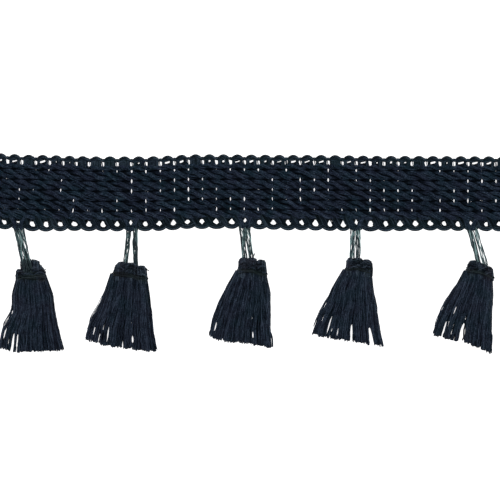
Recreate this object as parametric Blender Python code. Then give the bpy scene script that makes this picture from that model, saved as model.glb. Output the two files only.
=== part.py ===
# A length of tassel fringe: a knitted heading with five yarn tassels on thread loops.
# It lies face up on z = 0. +X runs along the heading and +Y towards its top edge.
# Everything is in metres, and MM turns the millimetres of the tables into metres.

import math
import random
from collections import namedtuple

import bmesh
import bpy
from mathutils import Vector

MM = 0.001
SHARP_ANGLE = math.radians(50)

# Heading: six rows of slanted stitches between a corded top edge and a scalloped lower edge.
BAND_LENGTH = 209.6 * MM
COLUMN_PITCH = 5.58 * MM
FIRST_COLUMN = -97.2 * MM
STITCH_ROWS = 6
ROWS_TOP = 37.1 * MM
ROWS_BOTTOM = 12.7 * MM
TOP_VALLEY = 38.1 * MM
TOP_PEAK = 39.3 * MM
SCALLOP_VALLEY = 10.5 * MM
SCALLOP_PEAK = 9.3 * MM
COLUMNS_SHIFTED = 9.5
SPARE_COLUMNS = 13
GROUND_HEIGHT = 1.7 * MM
STITCH_INSET = 0.45 * MM
STITCH_RISE = 0.9 * MM
STITCH_CROWN = 0.5 * MM
EDGE_CREST_HEIGHT = 2.6 * MM
EDGE_OUTER_HEIGHT = 1.1 * MM
TOP_CREST_SHARE = 0.45
SCALLOP_CREST_SHARE = 0.6

# The heading lies a little unevenly: its height on the page at places along it.
Drift = namedtuple("Drift", "x rise")
HEADING_DRIFT = [
    Drift(-105, 0.5), Drift(-86, 0.2), Drift(-60, -0.3), Drift(-42, -0.3),
    Drift(-20, 0.55), Drift(20, 0.3), Drift(60, -0.1), Drift(105, -0.3),
]

# Loops: one thread bent into an inverted U, whose legs run down to the tassel's head.
LOOP_RADIUS = 0.65 * MM
LOOP_TOP_LIFT = 1.5 * MM
LOOP_FOOT_LIFT = 3.6 * MM
LOOP_BEND_POINTS = 7
LOOP_LEG_POINTS = 4
SEAT_GAP = 0.35 * MM

# Tassels: a folded head over a bound neck, and a skirt of strands in two layers.
STRANDS_ACROSS = 15
STRAND_LAYERS = 2
ROOT_INSET = 0.1 * MM
STRAND_GAP = 0.35 * MM
TIP_UNEVENNESS = 0.7 * MM
CHANCE_SEED = 40
UNDER_LAYER_SHARE = 0.48
LAYER_STAGGER = 0.22
SKIRT_SIDE_TAPER = 0.5
NECK_LENGTH = 1.3 * MM
NECK_HALF_THICKNESS = 1.9 * MM
NECK_LIFT = 3.3 * MM
NECK_SIDE_TAPER = 0.65
NECK_SIDE_INSET = 0.3 * MM
HEAD_THICKNESS = 7.4 * MM
HEAD_SIDE_TAPER = 0.55
HEAD_CROWN_PINCH = 0.14
HEAD_RISES = (0.18, 0.55, 0.85, 1.0)
LOBE_ROUNDING = 1.6 * MM
NOTCH_DEPTH = 0.3

# The head's thickness follows a part of a sine wave, from its neck to its crown.
HEAD_WAVE_START = 0.26
HEAD_WAVE_SPAN = 0.66
HEAD_WAVE_POWER = 0.7

# Bindings: a closed turn of thread with squarish ends around the neck.
BINDING_RADIUS = 0.45 * MM
BINDING_CLEARANCE = 0.8 * MM
BINDING_POINTS = 18
BINDING_SQUARENESS = 0.7
BINDING_PLACE = 0.55

# How thick the skirt lies on the surface, from its neck (0) to its tips (1).
Fall = namedtuple("Fall", "along thickness")
SKIRT_FALLS = [Fall(0.0, 5.2), Fall(0.3, 6.0), Fall(0.65, 5.0), Fall(1.0, 3.6)]

# One row for each tassel, in millimetres. left and right are the skirt's sides at 0, 1/4,
# 1/2, 3/4 and the whole of its length; tips is its lower edge from left to right.
Tassel = namedtuple(
    "Tassel",
    "loopTop legSpread footLeft footRight headLeft headRight splits lobeTops neckLeft neckRight "
    "left right tips partings")
TASSELS = [
    Tassel(-92.2, 2.2, -90.6, -88.2, -93.4, -81.4, (0.2, 0.5), (-6.8, -3.6, -2.4), -9.8, -9.8,
           (-93.2, -95.2, -96.2, -98.8, -100.0), (-81.2, -78.4, -77.8, -76.4, -75.0),
           (-37.6, -39.4, -39.2, -39.0, -38.8), ((0.2, 0.8),)),
    Tassel(-47.2, 2.6, -49.7, -46.0, -54.8, -40.8, (0.37, 0.66), (-3.2, -3.6, -5.0), -8.6, -10.2,
           (-55.6, -58.0, -60.4, -64.0, -65.6), (-41.2, -40.0, -39.2, -38.4, -37.4),
           (-34.4, -36.6, -37.6, -38.6, -39.4), ((0.27, 0.6),)),
    Tassel(-2.3, 2.4, -2.5, 0.5, -5.0, 6.8, (0.32, 0.63), (-1.8, -2.0, -2.6), -7.4, -9.0,
           (-5.6, -9.6, -12.4, -14.8, -16.2), (6.6, 8.4, 8.4, 8.4, 8.8),
           (-33.4, -35.2, -35.6, -36.6, -37.8), ((0.7, 0.5),)),
    Tassel(42.0, 2.4, 40.4, 43.2, 38.0, 48.8, (0.22, 0.65), (-1.8, -2.0, -2.6), -7.0, -7.6,
           (37.2, 33.0, 30.6, 27.6, 25.6), (48.4, 49.4, 50.8, 51.6, 53.2),
           (-32.2, -34.0, -34.8, -36.0, -37.0), ((0.53, 0.8), (0.8, 1.2))),
    Tassel(88.8, 2.4, 90.6, 93.0, 86.2, 97.2, (0.36, 0.7), (-2.8, -3.8, -5.2), -7.4, -9.6,
           (85.4, 82.0, 78.4, 75.4, 73.4), (96.8, 97.0, 96.6, 96.6, 96.6),
           (-32.0, -34.4, -35.2, -37.4, -40.0), ((0.2, 0.9), (0.47, 2.2))),
]


def clearScene():
    for thing in list(bpy.data.objects):
        bpy.data.objects.remove(thing, do_unlink=True)


def makeMaterial(name, colour, roughness):
    material = bpy.data.materials.new(name)
    material.use_nodes = True
    shader = material.node_tree.nodes["Principled BSDF"]
    shader.inputs["Base Color"].default_value = (*colour, 1.0)
    shader.inputs["Roughness"].default_value = roughness
    shader.inputs["Metallic"].default_value = 0.0
    return material


def bodyYarnMaterial():
    return makeMaterial("body_yarn", (0.016, 0.022, 0.038), 0.8)


def loopThreadMaterial():
    return makeMaterial("loop_thread", (0.040, 0.065, 0.072), 0.55)


def bindingThreadMaterial():
    return makeMaterial("binding_thread", (0.010, 0.014, 0.014), 0.6)


def addObject(name, data, material, collection):
    data.materials.append(material)
    thing = bpy.data.objects.new(name, data)
    collection.objects.link(thing)
    return thing


def meshFrom(bm, name):
    bmesh.ops.recalc_face_normals(bm, faces=bm.faces[:])
    mesh = bpy.data.meshes.new(name)
    bm.to_mesh(mesh)
    bm.free()
    mesh.shade_smooth()
    mesh.set_sharp_from_angle(angle=SHARP_ANGLE)
    return mesh


def between(values, at):
    # the value at a fraction of an evenly spaced row of values
    place = min(max(at, 0.0), 1.0) * (len(values) - 1)
    step = min(int(place), len(values) - 2)
    return values[step] + (values[step + 1] - values[step]) * (place - step)


def driftAt(x):
    # smooth steps between the drift table's places
    for near, far in zip(HEADING_DRIFT, HEADING_DRIFT[1:]):
        if x <= far.x * MM:
            share = min(max((x / MM - near.x) / (far.x - near.x), 0.0), 1.0)
            share = share * share * (3 - 2 * share)
            return (near.rise + (far.rise - near.rise) * share) * MM
    return HEADING_DRIFT[-1].rise * MM


def edgesAt(bm, y):
    return [e for e in bm.edges if e.is_boundary and all(abs(v.co.y - y) < 0.01 * MM for v in e.verts)]


def growEdge(bm, edges, valleyY, peakY, z, valleyX):
    # draw a row of edges outwards; its vertices are valleys at valleyX and peaks half a pitch on
    grown = bmesh.ops.extrude_edge_only(bm, edges=edges)["geom"]
    for vertex in (g for g in grown if isinstance(g, bmesh.types.BMVert)):
        phase = ((vertex.co.x - valleyX) / COLUMN_PITCH) % 1.0
        vertex.co.y = peakY if 0.3 < phase < 0.7 else valleyY
        vertex.co.z = z
    return [g for g in grown if isinstance(g, bmesh.types.BMEdge)]


def buildHeading(material, collection):
    # a sheared grid gives one slanted cell for each stitch
    bm = bmesh.new()
    columns = round(BAND_LENGTH / COLUMN_PITCH) + SPARE_COLUMNS
    bmesh.ops.create_grid(bm, x_segments=columns, y_segments=STITCH_ROWS, size=0.5)
    middle = (ROWS_TOP + ROWS_BOTTOM) / 2
    shear = COLUMNS_SHIFTED * COLUMN_PITCH
    topLeft = -columns / 2 * COLUMN_PITCH - shear / 2
    align = (topLeft - FIRST_COLUMN) % COLUMN_PITCH
    for vertex in bm.verts:
        vertex.co.x = vertex.co.x * columns * COLUMN_PITCH - align
        vertex.co.x -= vertex.co.y * shear
        vertex.co.y = middle + vertex.co.y * (ROWS_TOP - ROWS_BOTTOM)
        vertex.co.z = GROUND_HEIGHT

    # each cell is raised to a stitch with a crown
    stitches = bm.faces[:]
    bmesh.ops.inset_individual(bm, faces=stitches, thickness=STITCH_INSET, use_even_offset=True)
    for vertex in {v for f in stitches for v in f.verts}:
        vertex.co.z += STITCH_RISE
    bmesh.ops.poke(bm, faces=stitches, offset=STITCH_CROWN)

    # the two ends are cut straight across
    for side in (-1, 1):
        bmesh.ops.bisect_plane(
            bm, geom=bm.verts[:] + bm.edges[:] + bm.faces[:], dist=0.0001 * MM,
            plane_co=(side * BAND_LENGTH / 2, 0, 0), plane_no=(side, 0, 0), clear_outer=True)

    # corded top edge and scalloped lower edge, whose waves are half a pitch apart
    for startY, crestShare, valleyY, peakY, valleyX in (
            (ROWS_TOP, TOP_CREST_SHARE, TOP_VALLEY, TOP_PEAK, FIRST_COLUMN),
            (ROWS_BOTTOM, SCALLOP_CREST_SHARE, SCALLOP_VALLEY, SCALLOP_PEAK,
             FIRST_COLUMN + COLUMN_PITCH / 2)):
        bmesh.ops.subdivide_edges(bm, edges=edgesAt(bm, startY), cuts=1)
        crestValleyY = startY + (valleyY - startY) * crestShare
        crestPeakY = startY + (peakY - startY) * crestShare
        edges = growEdge(bm, edgesAt(bm, startY), crestValleyY, crestPeakY, EDGE_CREST_HEIGHT, valleyX)
        growEdge(bm, edges, valleyY, peakY, EDGE_OUTER_HEIGHT, valleyX)

    # flat back
    rim = [e for e in bm.edges if e.is_boundary]
    walls = bmesh.ops.extrude_edge_only(bm, edges=rim)["geom"]
    for vertex in (g for g in walls if isinstance(g, bmesh.types.BMVert)):
        vertex.co.z = 0.0
    bmesh.ops.triangle_fill(bm, edges=[g for g in walls if isinstance(g, bmesh.types.BMEdge)],
                            use_beauty=True)
    for vertex in bm.verts:
        vertex.co.y += driftAt(vertex.co.x)
    addObject("heading", meshFrom(bm, "heading"), material, collection)


def buildLoop(number, tassel, material, collection):
    # down the left leg's line from the bend, and the same on the right
    bend = tassel.legSpread / 2 * MM
    top = Vector((tassel.loopTop * MM, 0.0, LOOP_TOP_LIFT))
    top.y = SCALLOP_PEAK + driftAt(top.x) - SEAT_GAP - LOOP_RADIUS - bend
    points = []
    for step in range(LOOP_BEND_POINTS):
        turn = math.pi * step / (LOOP_BEND_POINTS - 1)
        points.append(top + Vector((-bend * math.cos(turn), bend * math.sin(turn), 0.0)))
    legs = []
    for footX, hip in ((tassel.footLeft, points[0]), (tassel.footRight, points[-1])):
        foot = Vector((footX * MM, headTopUnder(tassel, footX) + SEAT_GAP, LOOP_FOOT_LIFT))
        legs.append([hip.lerp(foot, (n + 1) / LOOP_LEG_POINTS) for n in range(LOOP_LEG_POINTS)])
    points = list(reversed(legs[0])) + points + legs[1]

    curve = bpy.data.curves.new(f"loop_{number}", "CURVE")
    curve.dimensions = "3D"
    curve.bevel_depth = LOOP_RADIUS
    curve.bevel_resolution = 1
    curve.use_fill_caps = True
    spline = curve.splines.new("POLY")
    spline.points.add(len(points) - 1)
    for slot, point in zip(spline.points, points):
        slot.co = (*point, 1.0)
    addObject(f"loop_{number}", curve, material, collection)


def lobeAt(tassel, share):
    # which lobe of the head a fraction of its width falls in, and how far across that lobe
    ends = (0.0, *tassel.splits, 1.0)
    for lobe in range(3):
        if share <= ends[lobe + 1] or lobe == 2:
            return lobe, min(max((share - ends[lobe]) / (ends[lobe + 1] - ends[lobe]), 0.0), 1.0)


def headTop(tassel, share):
    lobe, across = lobeAt(tassel, share)
    return tassel.lobeTops[lobe] * MM - LOBE_ROUNDING * abs(2 * across - 1) ** 3


def headTopUnder(tassel, footX):
    # the head's highest place under the whole width of a loop's leg
    reach = LOOP_RADIUS / MM
    places = (footX - 2 * reach, footX - reach, footX, footX + reach, footX + 2 * reach)
    width = tassel.headRight - tassel.headLeft
    return max(headTop(tassel, (place - tassel.headLeft) / width) for place in places)


def neckY(tassel, share):
    return (tassel.neckLeft + (tassel.neckRight - tassel.neckLeft) * share) * MM


def neckHalfThickness(share):
    return NECK_HALF_THICKNESS * (1 - NECK_SIDE_TAPER * abs(2 * share - 1) ** 3)


def placeHead(tassel, share, layer, rise):
    # layer runs from -1 under the head to 1 on top; rise from 0 at the neck to 1 at the crown
    lobe, across = lobeAt(tassel, share)
    base = neckY(tassel, share) + NECK_LENGTH
    y = base + (headTop(tassel, share) - base) * rise
    half = HEAD_THICKNESS / 2 * (1 - HEAD_SIDE_TAPER * abs(2 * share - 1) ** 3)
    half *= 1 - NOTCH_DEPTH * abs(2 * across - 1) ** 2
    half *= math.sin(math.pi * (HEAD_WAVE_START + HEAD_WAVE_SPAN * rise)) ** HEAD_WAVE_POWER
    middle = NECK_LIFT + (HEAD_THICKNESS / 2 - NECK_LIFT) * min(rise * 2, 1.0)
    x = tassel.headLeft + (tassel.headRight - tassel.headLeft) * share
    pinch = 1 - HEAD_CROWN_PINCH * rise ** 4
    centre = (tassel.headLeft + tassel.headRight) / 2
    return Vector(((centre + (x - centre) * pinch) * MM, y, max(middle + half * layer, 0.0)))


def placeNeck(tassel, share, layer, along):
    half = neckHalfThickness(share)
    left = tassel.left[0] * MM + NECK_SIDE_INSET
    right = tassel.right[0] * MM - NECK_SIDE_INSET
    return Vector((left + (right - left) * share, neckY(tassel, share) + along * NECK_LENGTH,
                   NECK_LIFT + half * layer))


def partedShare(tassel, share, along):
    # open the skirt at its partings: strands on each side move away from them
    width = between(tassel.right, along) - between(tassel.left, along)
    for at, gap in tassel.partings:
        push = gap / width / 2 * along ** 2
        share = share + push * (1 - share) if share > at else share - push * share
    return share


def strandSection(tassel, column, layer, along, reach):
    # centre, width and thickness of a strand after it has run a part of its length
    share = (column + 0.5) / STRANDS_ACROSS
    left = between(tassel.left, along) * MM
    right = between(tassel.right, along) * MM
    parted = sum(gap for at, gap in tassel.partings) * MM * along ** 2
    slot = (right - left - parted) / STRANDS_ACROSS
    shifted = share + layer * LAYER_STAGGER / STRANDS_ACROSS * along * (1 - share)
    x = left + (right - left) * partedShare(tassel, shifted, along)
    tip = between(tassel.tips, share) * MM + reach
    y = neckY(tassel, share) + along * (tip - neckY(tassel, share))
    depth = next(fall.thickness for fall in SKIRT_FALLS if fall.along >= along - 0.001) * MM
    depth *= 1 - SKIRT_SIDE_TAPER * abs(2 * share - 1) ** 2.5
    under = depth * UNDER_LAYER_SHARE
    if layer == 0:
        return Vector((x, y, under / 2)), slot - STRAND_GAP, under
    over = depth - under - STRAND_GAP
    return Vector((x, y, under + STRAND_GAP + over / 2)), slot - STRAND_GAP, over


def buildTassel(number, tassel, material, collection):
    chance = random.Random(CHANCE_SEED + number)
    bm = bmesh.new()
    bmesh.ops.create_grid(bm, x_segments=STRANDS_ACROSS, y_segments=STRAND_LAYERS, size=0.5)
    across = bm.verts.layers.float.new("across")
    lift = bm.verts.layers.float.new("lift")
    for vertex in bm.verts:
        vertex[across] = vertex.co.x + 0.5
        vertex[lift] = vertex.co.y * 2
    roots = bm.faces[:]
    columns = {face: (int((face.calc_center_median().x + 0.5) * STRANDS_ACROSS),
                      0 if face.calc_center_median().y < 0 else 1) for face in roots}
    for vertex in bm.verts:
        vertex.co = placeNeck(tassel, vertex[across], vertex[lift], 0.0)

    # neck and head are drawn up from the root section
    faces = roots
    for rise in (None, *HEAD_RISES):
        grown = bmesh.ops.extrude_face_region(bm, geom=faces, use_keep_orig=True)["geom"]
        if faces is not roots:
            bmesh.ops.delete(bm, geom=faces, context="FACES")
        for vertex in (g for g in grown if isinstance(g, bmesh.types.BMVert)):
            if rise is None:
                vertex.co = placeNeck(tassel, vertex[across], vertex[lift], 1.0)
            else:
                vertex.co = placeHead(tassel, vertex[across], vertex[lift], rise)
        faces = [g for g in grown if isinstance(g, bmesh.types.BMFace)]
    bmesh.ops.recalc_face_normals(bm, faces=bm.faces[:])

    # strands hang from the root section, one from each of its faces
    for face in roots:
        column, layer = columns[face]
        bmesh.ops.inset_individual(bm, faces=[face], thickness=ROOT_INSET, use_even_offset=True)
        reach = chance.uniform(-TIP_UNEVENNESS / 2, TIP_UNEVENNESS / 2)
        for fall in SKIRT_FALLS[1:]:
            centre, width, thickness = strandSection(tassel, column, layer, fall.along, reach)
            face = bmesh.ops.extrude_discrete_faces(bm, faces=[face])["faces"][0]
            old = face.calc_center_median()
            for vertex in face.verts:
                sideX = math.copysign(0.5, vertex.co.x - old.x)
                sideZ = math.copysign(0.5, vertex.co.z - old.z)
                vertex.co = centre + Vector((sideX * width, 0.0, sideZ * thickness))
    addObject(f"tassel_{number}", meshFrom(bm, f"tassel_{number}"), material, collection)


def buildBinding(number, tassel, material, collection):
    # a closed turn of thread around the neck, slanted as the neck is
    halfWidth = (tassel.right[0] - tassel.left[0]) / 2 * MM - NECK_SIDE_INSET + BINDING_CLEARANCE
    halfDepth = NECK_HALF_THICKNESS + BINDING_CLEARANCE
    centreX = (tassel.right[0] + tassel.left[0]) / 2 * MM
    curve = bpy.data.curves.new(f"binding_{number}", "CURVE")
    curve.dimensions = "3D"
    curve.bevel_depth = BINDING_RADIUS
    curve.bevel_resolution = 1
    spline = curve.splines.new("POLY")
    spline.points.add(BINDING_POINTS - 1)
    spline.use_cyclic_u = True
    for step, slot in enumerate(spline.points):
        turn = 2 * math.pi * step / BINDING_POINTS
        wide = math.copysign(abs(math.cos(turn)) ** BINDING_SQUARENESS, math.cos(turn))
        deep = math.copysign(abs(math.sin(turn)) ** BINDING_SQUARENESS, math.sin(turn))
        share = (wide + 1) / 2
        slot.co = (centreX + wide * halfWidth, neckY(tassel, share) + NECK_LENGTH * BINDING_PLACE,
                   NECK_LIFT + deep * halfDepth, 1.0)
    addObject(f"binding_{number}", curve, material, collection)


def main():
    clearScene()
    collection = bpy.data.collections.new("tassel_fringe_trim")
    bpy.context.scene.collection.children.link(collection)
    bodyYarn = bodyYarnMaterial()
    loopThread = loopThreadMaterial()
    bindingThread = bindingThreadMaterial()
    buildHeading(bodyYarn, collection)
    for number, tassel in enumerate(TASSELS, 1):
        buildLoop(number, tassel, loopThread, collection)
        buildTassel(number, tassel, bodyYarn, collection)
        buildBinding(number, tassel, bindingThread, collection)


main()
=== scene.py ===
import math
from itertools import product

import bmesh
import bpy
import numpy as np
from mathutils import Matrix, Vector


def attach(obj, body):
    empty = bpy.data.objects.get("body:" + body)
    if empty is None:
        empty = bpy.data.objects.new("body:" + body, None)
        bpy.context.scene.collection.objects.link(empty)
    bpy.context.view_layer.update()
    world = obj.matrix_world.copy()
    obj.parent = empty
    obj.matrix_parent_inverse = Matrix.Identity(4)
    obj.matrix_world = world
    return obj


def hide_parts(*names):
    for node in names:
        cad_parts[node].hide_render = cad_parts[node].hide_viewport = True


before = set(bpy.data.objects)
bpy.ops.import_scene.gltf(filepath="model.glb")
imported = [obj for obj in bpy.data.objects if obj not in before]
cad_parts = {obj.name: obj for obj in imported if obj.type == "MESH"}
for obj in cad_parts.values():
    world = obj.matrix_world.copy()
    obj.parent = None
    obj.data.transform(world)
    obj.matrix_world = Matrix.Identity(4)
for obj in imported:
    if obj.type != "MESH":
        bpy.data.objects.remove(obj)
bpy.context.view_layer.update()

mm = 0.001
chance = np.random.default_rng(11)
between = chance.uniform

# Places are given in pixels of a 500 pixel square, 0.4 mm each, seen straight from above.
pixel = 0.4 * mm
photoCentre = (250.0, 252.95)
bandStart, bandEnd = -104.6 * mm, 104.6 * mm
# rise of the heading along its length, in mm
drift = {"x": [-105, -86, -60, -42, -20, 20, 60, 105],
         "rise": [1.1, 0.3, -0.3, -0.3, 0.55, 0.3, -0.1, -0.3]}
# how much lower the lower edge hangs, in pixels
lowEdge = {"x": [-105, -84, -70, -60, -20, 0, 25, 40, 70, 105],
           "hang": [0.6, 1.9, 0.4, 0.3, -0.3, -0.3, 0.8, 1.2, -0.1, 0.2]}
# columns of stitches: they draw to the left around one place, and the first ones stand to the right
columns = {"count": 38, "first": -6.7, "pitch": 13.95, "drawAt": 105, "draw": 2.7,
           "shiftUntil": 115, "shift": 0.9, "fade": 35}
# they also lean to the left near the left end, in pixels from top to bottom
columnLean = {"at": [-11, 5, 50, 80, 92, 108, 130], "reach": [0, 3.2, 4.6, 3.3, 1.3, 0.6, 0],
              "top": 163.6, "bottom": 210.0}


def spotX(px):
    return (np.asarray(px, dtype=float) - photoCentre[0]) * pixel


def spotY(py):
    return (photoCentre[1] - np.asarray(py, dtype=float)) * pixel


def smoothStep(value):
    t = np.clip(value, 0.0, 1.0)
    return t * t * (3 - 2 * t)


def driftAt(x):
    xs, rises = drift["x"], drift["rise"]
    x = np.asarray(x, dtype=float) / mm
    rise = np.full(x.shape, float(rises[0]))
    for k in range(len(xs) - 1):
        rise += smoothStep((x - xs[k]) / (xs[k + 1] - xs[k])) * (rises[k + 1] - rises[k])
    return rise * mm


def columnX(number):
    px = columns["first"] + columns["pitch"] * np.asarray(number, dtype=float)
    draw = columns["draw"] * np.exp(-((px - columns["drawAt"]) / columns["fade"]) ** 2)
    shift = columns["shift"] * (1 - smoothStep((px - columns["shiftUntil"]) / columns["fade"]))
    return spotX(px - draw + shift)


def leanAt(x, y):
    top, bottom = spotY(columnLean["top"]), spotY(columnLean["bottom"])
    reach = np.interp(x / pixel + photoCentre[0], columnLean["at"], columnLean["reach"])
    return -reach * pixel * np.clip((top + driftAt(x) - y) / (top - bottom), 0, 1.1)


def wander(values, wave, size):
    # a soft random wave along the values
    total = np.zeros(np.shape(values))
    for part in (1.0, 0.57, 0.31):
        turn = between(0, 2 * math.pi)
        stretch = between(0.8, 1.25)
        total = total + part * np.sin(2 * math.pi * np.asarray(values) / (wave * part * stretch) + turn)
    return total * size / 1.9


def joined(x, y, z):
    # points from their coordinates, each of them one number or a run of numbers
    return np.stack(np.broadcast_arrays(x, y, z), 1)


def through(knots, count):
    # a smooth run through the knots
    k = np.asarray(knots, dtype=float)
    k = np.vstack([2 * k[0] - k[1], k, 2 * k[-1] - k[-2]])
    t = np.linspace(0, len(k) - 3 - 1e-9, count)
    i = t.astype(int)
    u = (t - i)[:, None]
    a, b, c, d = k[i], k[i + 1], k[i + 2], k[i + 3]
    return 0.5 * (2 * b + (c - a) * u + (2 * a - 5 * b + 4 * c - d) * u**2
                  + (3 * b - a - 3 * c + d) * u**3)


def insideBand(x):
    return np.min(x) > bandStart and np.max(x) < bandEnd


def addObject(name, data):
    thing = bpy.data.objects.new(name, data)
    bpy.context.scene.collection.objects.link(thing)
    return thing


# Nodes
def fillInputs(tree, node, inputs):
    # an input takes a value, or a link from another node's socket
    for key, value in inputs.items():
        if isinstance(value, bpy.types.NodeSocket):
            tree.links.new(value, node.inputs[key])
        else:
            node.inputs[key].default_value = value
    return node


def addNode(tree, kind, inputs, **settings):
    node = tree.nodes.new(kind)
    for key, value in settings.items():
        setattr(node, key, value)
    return fillInputs(tree, node, inputs)


def addGroup(name, kind, inputs, outputs):
    group = bpy.data.node_groups.new(name, kind)
    for label, value in inputs.items():
        group.interface.new_socket(label, in_out="INPUT", socket_type="NodeSocket" + value)
    for label, value in outputs.items():
        group.interface.new_socket(label, in_out="OUTPUT", socket_type="NodeSocket" + value)
    return group, group.nodes.new("NodeGroupInput").outputs


# Tubes from lines: geometry nodes sweep a small round along every line of a mesh.
def makeTubeNodes():
    tree, given = addGroup("yarnTubes", "GeometryNodeTree", {"Lines": "Geometry", "Sides": "Int"},
                           {"Tubes": "Geometry"})
    thickness = addNode(tree, "GeometryNodeInputNamedAttribute", {"Name": "thickness"}, data_type="FLOAT")
    ring = addNode(tree, "GeometryNodeCurvePrimitiveCircle", {"Resolution": given["Sides"], "Radius": 1.0})
    place = addNode(tree, "GeometryNodeInputPosition", {})
    keepSide = addNode(tree, "GeometryNodeStoreNamedAttribute",
                       {"Geometry": ring.outputs["Curve"], "Name": "side", "Value": place.outputs[0]},
                       data_type="FLOAT_VECTOR", domain="POINT")
    toCurve = addNode(tree, "GeometryNodeMeshToCurve", {"Mesh": given["Lines"]})
    sweep = addNode(tree, "GeometryNodeCurveToMesh",
                    {"Curve": toCurve.outputs["Curve"], "Profile Curve": keepSide.outputs["Geometry"],
                     "Scale": thickness.outputs["Attribute"], "Fill Caps": True})
    addNode(tree, "NodeGroupOutput", {"Tubes": sweep.outputs["Mesh"]})
    return tree


tubeNodes = makeTubeNodes()
sidesSocket = [s.identifier for s in tubeNodes.interface.items_tree if s.name == "Sides"][0]


class Yarns:
    # lines gathered for one piece
    def __init__(self):
        self.lines, self.radii, self.shades, self.darks = [], [], [], []

    # a yarn's darkness holds its dark tone, and painted shade where it lies in crevices, under others or in
    # seams
    def add(self, points, radius, shade=None, dark=0.0):
        self.lines.append(points)
        self.radii.append(np.broadcast_to(radius, len(points)))
        self.shades.append(np.full(len(points), chance.random() if shade is None else shade))
        self.darks.append(np.broadcast_to(dark, len(points)))

    def make(self, name, sides, material, stands=()):
        counts = [len(line) for line in self.lines]
        points = np.vstack(self.lines)
        starts = np.concatenate([[0], np.cumsum(counts)])
        goesOn = np.ones(len(points), dtype=bool)
        goesOn[starts[1:] - 1] = False
        first = np.flatnonzero(goesOn)
        lines = bpy.data.meshes.new(name + "Lines")
        lines.vertices.add(len(points))
        lines.vertices.foreach_set("co", points.ravel())
        lines.edges.add(len(first))
        lines.edges.foreach_set("vertices", np.stack([first, first + 1], 1).ravel())
        steps = np.linalg.norm(np.diff(points, axis=0, prepend=points[:1]), axis=1)
        steps[starts[:-1]] = 0
        run = np.cumsum(steps)
        for label, values in (("thickness", np.concatenate(self.radii)),
                              ("shade", np.concatenate(self.shades)),
                              ("dark", np.concatenate(self.darks)),
                              ("along", run - np.repeat(run[starts[:-1]], counts))):
            layer = lines.attributes.new(label, "FLOAT", "POINT")
            layer.data.foreach_set("value", np.ascontiguousarray(values, dtype=float))
        lines.update()
        source = addObject(name + "Lines", lines)
        sweep = source.modifiers.new("tubes", "NODES")
        sweep.node_group = tubeNodes
        sweep[sidesSocket] = sides
        source.update_tag()
        graph = bpy.context.evaluated_depsgraph_get()
        mesh = bpy.data.meshes.new_from_object(source.evaluated_get(graph),
                                               preserve_all_data_layers=True, depsgraph=graph)
        bpy.data.objects.remove(source)
        bpy.data.meshes.remove(lines)
        mesh.name = name
        mesh.shade_smooth()
        mesh.materials.clear()
        mesh.materials.append(material)
        piece = addObject(name, mesh)
        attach(piece, "root")
        if stands:
            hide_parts(*stands)
        print(name, "is made,", sum(2 * sides * (c - 1) + 2 * sides - 4 for c in counts), "triangles")


# Looks
def calculate(tree, operation, *values):
    return addNode(tree, "ShaderNodeMath", dict(enumerate(values)), operation=operation).outputs[0]


def attribute(tree, name, output="Fac"):
    return addNode(tree, "ShaderNodeAttribute", {}, attribute_name=name).outputs[output]


def noise(tree, scale, detail):
    inputs = {"Vector": addNode(tree, "ShaderNodeTexCoord", {}).outputs["Object"],
              "Scale": scale, "Detail": detail}
    return addNode(tree, "ShaderNodeTexNoise", inputs).outputs[0]


def mixed(tree, share, first, second):
    # a Mix node's colours are its inputs 6 and 7 and its output 2
    return addNode(tree, "ShaderNodeMix", {0: share, 6: first, 7: second}, data_type="RGBA").outputs[2]


def makeTwistGroup():
    # fine twisted plies of one yarn: a height for the bump and a mask of the grooves, which darkens them as
    # painted shade
    group, given = addGroup("twistedYarn", "ShaderNodeTree",
                            {"Plies": "Float", "Lead": "Float", "Fuzz": "Float"},
                            {"Height": "Float", "Groove": "Float"})
    split = addNode(group, "ShaderNodeSeparateXYZ", {0: attribute(group, "side", "Vector")})
    angle = calculate(group, "ARCTAN2", split.outputs[1], split.outputs[0])
    turns = calculate(group, "DIVIDE", attribute(group, "along"), given["Lead"])
    around = calculate(group, "ADD", calculate(group, "MULTIPLY", angle, given["Plies"]),
                       calculate(group, "MULTIPLY", turns, 2 * math.pi))
    phase = calculate(group, "MULTIPLY", attribute(group, "shade"), 40.0)
    wave = calculate(group, "SINE", calculate(group, "ADD", around, phase))
    rounded = calculate(group, "POWER", calculate(group, "MULTIPLY_ADD", wave, 0.5, 0.5), 0.6)
    fuzz = calculate(group, "MULTIPLY", noise(group, 5200, 3), given["Fuzz"])
    addNode(group, "NodeGroupOutput", {"Height": calculate(group, "ADD", rounded, fuzz),
                                       "Groove": calculate(group, "SUBTRACT", 1.0, rounded)})
    return group


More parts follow.
